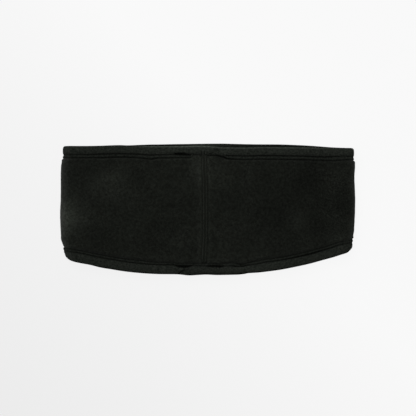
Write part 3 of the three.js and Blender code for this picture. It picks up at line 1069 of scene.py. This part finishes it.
def seam_rows(y):
    """Places of both rows of the seam, at the heights y."""
    base = seam_base(y) + THREAD_LIFT
    rows = [np.stack([seam_line(y) + x, y, base + rib_height(x)], axis=-1) for x in SEAM_ROWS_AT]
    return np.concatenate(rows)


seam_starts = seam_rows(seam_begin)
seam_ends = seam_rows(seam_begin + STITCH_SHARE * STITCH_PITCH)
seam_up = np.tile([0.0, 0.0, 1.0], (len(seam_starts), 1))
seam_stitches = sew("seam_stitches", seam_starts, seam_ends, seam_up)

# %% [markdown]
# ## Materials
# All of it is black polyester, and what tells the pieces apart is how each one takes the light. Colours
# are written as sRGB hex values, the way they look on a screen, and one function turns them to the
# linear values that the shader wants.

# %% Helpers for materials
def linear(hex_colour):
    """A screen colour as the shader's red, green, blue and alpha."""
    channels = [int(hex_colour[i:i + 2], 16) / 255 for i in (1, 3, 5)]
    return [c / 12.92 if c <= 0.04045 else ((c + 0.055) / 1.055) ** 2.4 for c in channels] + [1.0]


def add(tree, kind, inputs=None, **settings):
    """Adds a node, sets its settings, and gives each input a value or a link."""
    node = tree.nodes.new(kind)
    for key, value in settings.items():
        setattr(node, key, value)
    for key, value in (inputs or {}).items():
        if isinstance(value, bpy.types.NodeSocket):
            tree.links.new(value, node.inputs[key])
        else:
            node.inputs[key].default_value = value
    return node


def new_material(name):
    material = bpy.data.materials.new(name)
    material.use_nodes = True
    material.node_tree.nodes.clear()
    return material, material.node_tree


# %% [markdown]
# Brushed polyester fleece scatters light among its fibres, so it has no gloss, and its nap catches a
# little light at the folds and where it is seen from low down. Tufts of about 2 mm make it mottled, and
# rubbing leaves broad paler patches. The single fibres are finer than a pixel, so they are drawn at
# 0.75 mm. Their colours are those of dyed polyester close up, and a nap is darker than that, because
# light is lost between its fibres: NAP_LIGHT is the share that comes back.

# %% Fleece
NAP_LIGHT = 0.37
TUFT_GRAIN = 2.2 * MM
FIBRE_GRAIN = 0.75 * MM
WORN_PATCH = 34 * MM


def fleece_material():
    material, tree = new_material("brushed_polyester_fleece")
    place = add(tree, "ShaderNodeTexCoord").outputs["Object"]
    tufts = add(tree, "ShaderNodeTexNoise", {
        "Vector": place, "Scale": 1 / TUFT_GRAIN, "Detail": 3.0, "Roughness": 0.6,
    }).outputs["Fac"]
    fibres = add(tree, "ShaderNodeTexNoise", {
        "Vector": place, "Scale": 1 / FIBRE_GRAIN, "Detail": 2.0, "Roughness": 0.7,
    }).outputs["Fac"]
    patches = add(tree, "ShaderNodeTexNoise", {
        "Vector": place, "Scale": 1 / WORN_PATCH, "Detail": 3.0, "Roughness": 0.6,
    }).outputs["Fac"]
    mottled = add(tree, "ShaderNodeValToRGB", {"Fac": tufts})
    dark, pale = mottled.color_ramp.elements
    dark.position = 0.36
    dark.color = linear("#1b1d19")
    pale.position = 0.64
    pale.color = linear("#272a25")
    worn = add(tree, "ShaderNodeMapRange", {
        "Value": patches, "From Min": 0.35, "From Max": 0.7,
        "To Min": 0.84 * NAP_LIGHT, "To Max": 1.2 * NAP_LIGHT,
    }).outputs["Result"]
    # The nap attribute carries painted highlights and shade as well as the nap's own tone.
    nap = add(tree, "ShaderNodeAttribute", attribute_name="nap").outputs["Fac"]
    ruffle = add(tree, "ShaderNodeAttribute", attribute_name="ruffled").outputs["Fac"]
    most = add(tree, "ShaderNodeMath", {0: ruffle, 1: 0.4, 2: 1.36}, operation="MULTIPLY_ADD")
    least = add(tree, "ShaderNodeMath", {0: 2.0, 1: most.outputs["Value"]}, operation="SUBTRACT")
    ends = add(tree, "ShaderNodeMapRange", {
        "Value": fibres, "From Min": 0.36, "From Max": 0.64,
        "To Min": least.outputs["Value"], "To Max": most.outputs["Value"],
    }).outputs["Result"]
    lit = add(tree, "ShaderNodeMath", {0: worn, 1: nap}, operation="MULTIPLY").outputs["Value"]
    light = add(tree, "ShaderNodeMath", {0: lit, 1: ends}, operation="MULTIPLY").outputs["Value"]
    colour = add(
        tree, "ShaderNodeVectorMath", {0: mottled.outputs["Color"], "Scale": light}, operation="SCALE",
    )
    coarse = add(tree, "ShaderNodeBump", {"Height": tufts, "Strength": 0.6, "Distance": 0.6 * MM})
    length = add(tree, "ShaderNodeMath", {0: ruffle, 1: 0.5 * MM, 2: 0.25 * MM}, operation="MULTIPLY_ADD")
    fine = add(tree, "ShaderNodeBump", {
        "Height": fibres, "Strength": 0.6, "Distance": length.outputs["Value"],
        "Normal": coarse.outputs["Normal"],
    })
    shader = add(tree, "ShaderNodeBsdfPrincipled", {
        "Base Color": colour.outputs["Vector"], "Roughness": 1.0, "Specular IOR Level": 0.0,
        "Sheen Weight": 0.12, "Sheen Roughness": 0.5, "Sheen Tint": linear("#b8bcb6"),
        "Normal": fine.outputs["Normal"],
    })
    add(tree, "ShaderNodeOutputMaterial", {"Surface": shader.outputs["BSDF"]})
    return material


# %% [markdown]
# The bindings are a fine rib knit of polyester and elastane. It is smoother than the fleece and just as
# free of gloss, and its rims are light through the painted highlight that the shade attribute carries.
# Its ribs cross the strip about every 0.8 mm, and they are drawn at 1.3 mm so that they still show. The
# loops of its yarn are a fine grain. KNIT_LIGHT is the share of light that comes back from between the
# loops.

# %% Binding knit
KNIT_LIGHT = 0.525
KNIT_RIB = 1.3 * MM
LOOP_GRAIN = 1.2 * MM


def knit_material():
    material, tree = new_material("stretch_rib_knit")
    flat = add(tree, "ShaderNodeUVMap").outputs["UV"]
    place = add(tree, "ShaderNodeTexCoord").outputs["Object"]
    way = add(tree, "ShaderNodeSeparateXYZ", {"Vector": flat}).outputs["X"]
    turns = add(tree, "ShaderNodeMath", {0: way, 1: 2 * math.pi / KNIT_RIB}, operation="MULTIPLY")
    ribs = add(tree, "ShaderNodeMath", {0: turns.outputs["Value"]}, operation="SINE").outputs["Value"]
    grain = add(tree, "ShaderNodeTexNoise", {
        "Vector": place, "Scale": 1 / LOOP_GRAIN, "Detail": 3.0, "Roughness": 0.65,
    }).outputs["Fac"]
    mottled = add(tree, "ShaderNodeValToRGB", {"Fac": grain})
    dark, pale = mottled.color_ramp.elements
    dark.position = 0.3
    dark.color = linear("#121512")
    pale.position = 0.7
    pale.color = linear("#31342f")
    # The shade attribute carries painted shade in the rows and a painted highlight on the rims.
    shade = add(tree, "ShaderNodeAttribute", attribute_name="shade").outputs["Fac"]
    light = add(tree, "ShaderNodeMath", {0: shade, 1: KNIT_LIGHT}, operation="MULTIPLY").outputs["Value"]
    colour = add(
        tree, "ShaderNodeVectorMath", {0: mottled.outputs["Color"], "Scale": light}, operation="SCALE",
    )
    ribbed = add(tree, "ShaderNodeBump", {"Height": ribs, "Strength": 0.35, "Distance": 0.12 * MM})
    rough = add(tree, "ShaderNodeBump", {
        "Height": grain, "Strength": 0.4, "Distance": 0.15 * MM, "Normal": ribbed.outputs["Normal"],
    })
    shader = add(tree, "ShaderNodeBsdfPrincipled", {
        "Base Color": colour.outputs["Vector"], "Roughness": 0.9, "Specular IOR Level": 0.0,
        "Sheen Weight": 0.03, "Sheen Roughness": 0.4, "Sheen Tint": linear("#c0c4be"),
        "Normal": rough.outputs["Normal"],
    })
    add(tree, "ShaderNodeOutputMaterial", {"Surface": shader.outputs["BSDF"]})
    return material


# %% [markdown]
# Sewing thread is spun polyester, twisted from strands that catch the light on their round sides. A
# stitch is less than half a pixel thick, so its twist is a slight change of colour and no more. The seam
# is fleece pressed flat under its thread, darker than the open nap and with a finer grain.

# %% Thread and pressed seam
TWIST = 3.0 * MM
SEAM_GRAIN = 1.1 * MM


def thread_material():
    material, tree = new_material("spun_polyester_thread")
    place = add(tree, "ShaderNodeTexCoord").outputs["Object"]
    twist = add(
        tree, "ShaderNodeTexWave", {"Vector": place, "Scale": 1 / TWIST, "Distortion": 1.5},
        bands_direction="DIAGONAL",
    )
    strands = add(tree, "ShaderNodeValToRGB", {"Fac": twist.outputs["Fac"]})
    dark, pale = strands.color_ramp.elements
    dark.color = linear("#060705")
    pale.color = linear("#0c0e0a")
    shader = add(tree, "ShaderNodeBsdfPrincipled", {
        "Base Color": strands.outputs["Color"], "Roughness": 0.6, "Specular IOR Level": 0.04,
    })
    add(tree, "ShaderNodeOutputMaterial", {"Surface": shader.outputs["BSDF"]})
    return material


def seam_material():
    material, tree = new_material("pressed_fleece_seam")
    place = add(tree, "ShaderNodeTexCoord").outputs["Object"]
    grain = add(tree, "ShaderNodeTexNoise", {
        "Vector": place, "Scale": 1 / SEAM_GRAIN, "Detail": 3.0, "Roughness": 0.6,
    }).outputs["Fac"]
    mottled = add(tree, "ShaderNodeValToRGB", {"Fac": grain})
    dark, pale = mottled.color_ramp.elements
    dark.position = 0.3
    dark.color = linear("#0e100d")
    pale.position = 0.7
    pale.color = linear("#1c1e1a")
    shade = add(tree, "ShaderNodeAttribute", attribute_name="shade").outputs["Fac"]
    colour = add(
        tree, "ShaderNodeVectorMath", {0: mottled.outputs["Color"], "Scale": shade}, operation="SCALE",
    )
    bump = add(tree, "ShaderNodeBump", {"Height": grain, "Strength": 0.5, "Distance": 0.2 * MM})
    shader = add(tree, "ShaderNodeBsdfPrincipled", {
        "Base Color": colour.outputs["Vector"], "Roughness": 1.0, "Specular IOR Level": 0.0,
        "Sheen Weight": 0.04, "Sheen Roughness": 0.5, "Sheen Tint": linear("#b8bcb6"),
        "Normal": bump.outputs["Normal"],
    })
    add(tree, "ShaderNodeOutputMaterial", {"Surface": shader.outputs["BSDF"]})
    return material


# %% Give each piece its finish
def dress(piece, material, slot, *replaced):
    piece.data.materials.clear()
    piece.data.materials.append(material)
    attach(piece, "root")
    if replaced:
        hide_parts(*replaced)
    print(piece.name, "is finished as", material.name)


knit, thread = knit_material(), thread_material()
dress(fleece, fleece_material(), "fleece", "fleece_band")
dress(seam, seam_material(), "seam", "centre_seam")
dress(seam_stitches, thread, "seam")
for side in ("Top", "Bottom"):
    dress(bindings[side], knit, "binding", side.lower() + "_binding")
    dress(laps[side], knit, "binding")
    dress(stitches[side], thread, "seam")

# %% [markdown]
# The fleece is one cut piece of cloth. Four hundred places are taken evenly round the ring, with their x
# and their rise.

ways = np.linspace(0, RING_LENGTH, 400, endpoint=False)
ring_x, ring_rise, _, _ = ring(ways)

# %% [markdown]
# ## Table, light and camera
# The table is a pale sheet that glows a little, as a light table does, which keeps the shadow under the
# cloth faint. It glows a little more towards the right and the top, as the background of the photograph
# does. The light is soft and comes from all round, with a large lamp above and a smaller one beyond the
# top edge, so that the rim shows. Two low lamps, one beside each fold, show how the folds turn, and the
# camera looks straight down.

# %% Table
TABLE_SIZE = 4.0
TABLE_DROP = 0.05 * MM
TABLE_GLOW = 0.893
GLOW_RIGHTWARDS = 0.283
GLOW_UPWARDS = 0.24
LEAST_GLOW = 0.7
MOST_GLOW = TABLE_GLOW + 0.018


def table_material():
    material, tree = new_material("pale_light_table")
    place = add(tree, "ShaderNodeTexCoord").outputs["Object"]
    parts = add(tree, "ShaderNodeSeparateXYZ", {"Vector": place}).outputs
    level = add(
        tree, "ShaderNodeMath", {0: parts["X"], 1: GLOW_RIGHTWARDS, 2: TABLE_GLOW},
        operation="MULTIPLY_ADD",
    )
    slanted = add(
        tree, "ShaderNodeMath", {0: parts["Y"], 1: GLOW_UPWARDS, 2: level.outputs["Value"]},
        operation="MULTIPLY_ADD",
    )
    glow = add(tree, "ShaderNodeClamp", {
        "Value": slanted.outputs["Value"], "Min": LEAST_GLOW, "Max": MOST_GLOW,
    })
    shader = add(tree, "ShaderNodeBsdfPrincipled", {
        "Base Color": linear("#2e2e2e"), "Roughness": 1.0, "Specular IOR Level": 0.0,
        "Emission Color": [1.0, 1.0, 1.0, 1.0], "Emission Strength": glow.outputs["Result"],
    })
    add(tree, "ShaderNodeOutputMaterial", {"Surface": shader.outputs["BSDF"]})
    return material


bpy.ops.object.select_all(action="DESELECT")
bpy.ops.mesh.primitive_plane_add(size=TABLE_SIZE, location=(0, 0, -TABLE_DROP))
table = bpy.context.object
table.name = "table"
table.data.materials.append(table_material())
table.visible_diffuse = False
table.visible_glossy = False

# %% Light
SURROUND = 0.45


def lamp(name, place, size, power, colour="#ffffff"):
    """A square lamp that points at the middle of the headband."""
    light = bpy.data.lights.new(name, "AREA")
    light.size = size
    light.energy = power
    light.color = linear(colour)[:3]
    holder = bpy.data.objects.new(name, light)
    bpy.context.collection.objects.link(holder)
    holder.location = place
    holder.rotation_euler = (-holder.location).to_track_quat("-Z", "Y").to_euler()


scene = bpy.context.scene
scene.world = bpy.data.worlds.new("studio")
scene.world.use_nodes = True
surround = scene.world.node_tree.nodes["Background"]
surround.inputs["Color"].default_value = (1.0, 1.0, 1.0, 1.0)
surround.inputs["Strength"].default_value = SURROUND
lamp("overhead_lamp", (-0.5, 0.6, 1.5), 1.0, 22.0)
lamp("rim_lamp", (0.0, 1.2, 0.3), 0.5, 5.0)
lamp("left_lamp", (-0.8, 0.03, 0.07), 0.12, 5.7, "#f8f0ff")
lamp("right_lamp", (0.8, 0.03, 0.07), 0.12, 2.4)
print("lamps:", [light.name for light in bpy.data.lights])

# %% [markdown]
# The photograph's frame is square, 416 pixels wide, and the band is 294.4 of them wide. That sets the
# width of the view at the height of the folds, and with the camera's distance it sets the lens.

# %% Camera
FRAME_PIXELS = 416
BAND_PIXELS = 294.4
BAND_CENTRE = (207.7, 209.5)
CAMERA_HEIGHT = 3.0
SENSOR = 36.0

pixel = 2 * HALF_WIDTH / BAND_PIXELS
view_width = FRAME_PIXELS * pixel
camera_data = bpy.data.cameras.new("overhead")
camera_data.sensor_width = SENSOR
camera_data.lens = SENSOR * (CAMERA_HEIGHT - FOLD_RADIUS - WALL / 2) / view_width
camera = bpy.data.objects.new("overhead", camera_data)
bpy.context.collection.objects.link(camera)
camera.location = (
    (FRAME_PIXELS / 2 - BAND_CENTRE[0]) * pixel,
    (BAND_CENTRE[1] - FRAME_PIXELS / 2) * pixel,
    CAMERA_HEIGHT,
)
scene.camera = camera
scene.view_settings.view_transform = "Standard"
print("lens, mm:", round(camera_data.lens, 1), "one pixel, mm:", round(pixel / MM, 3))
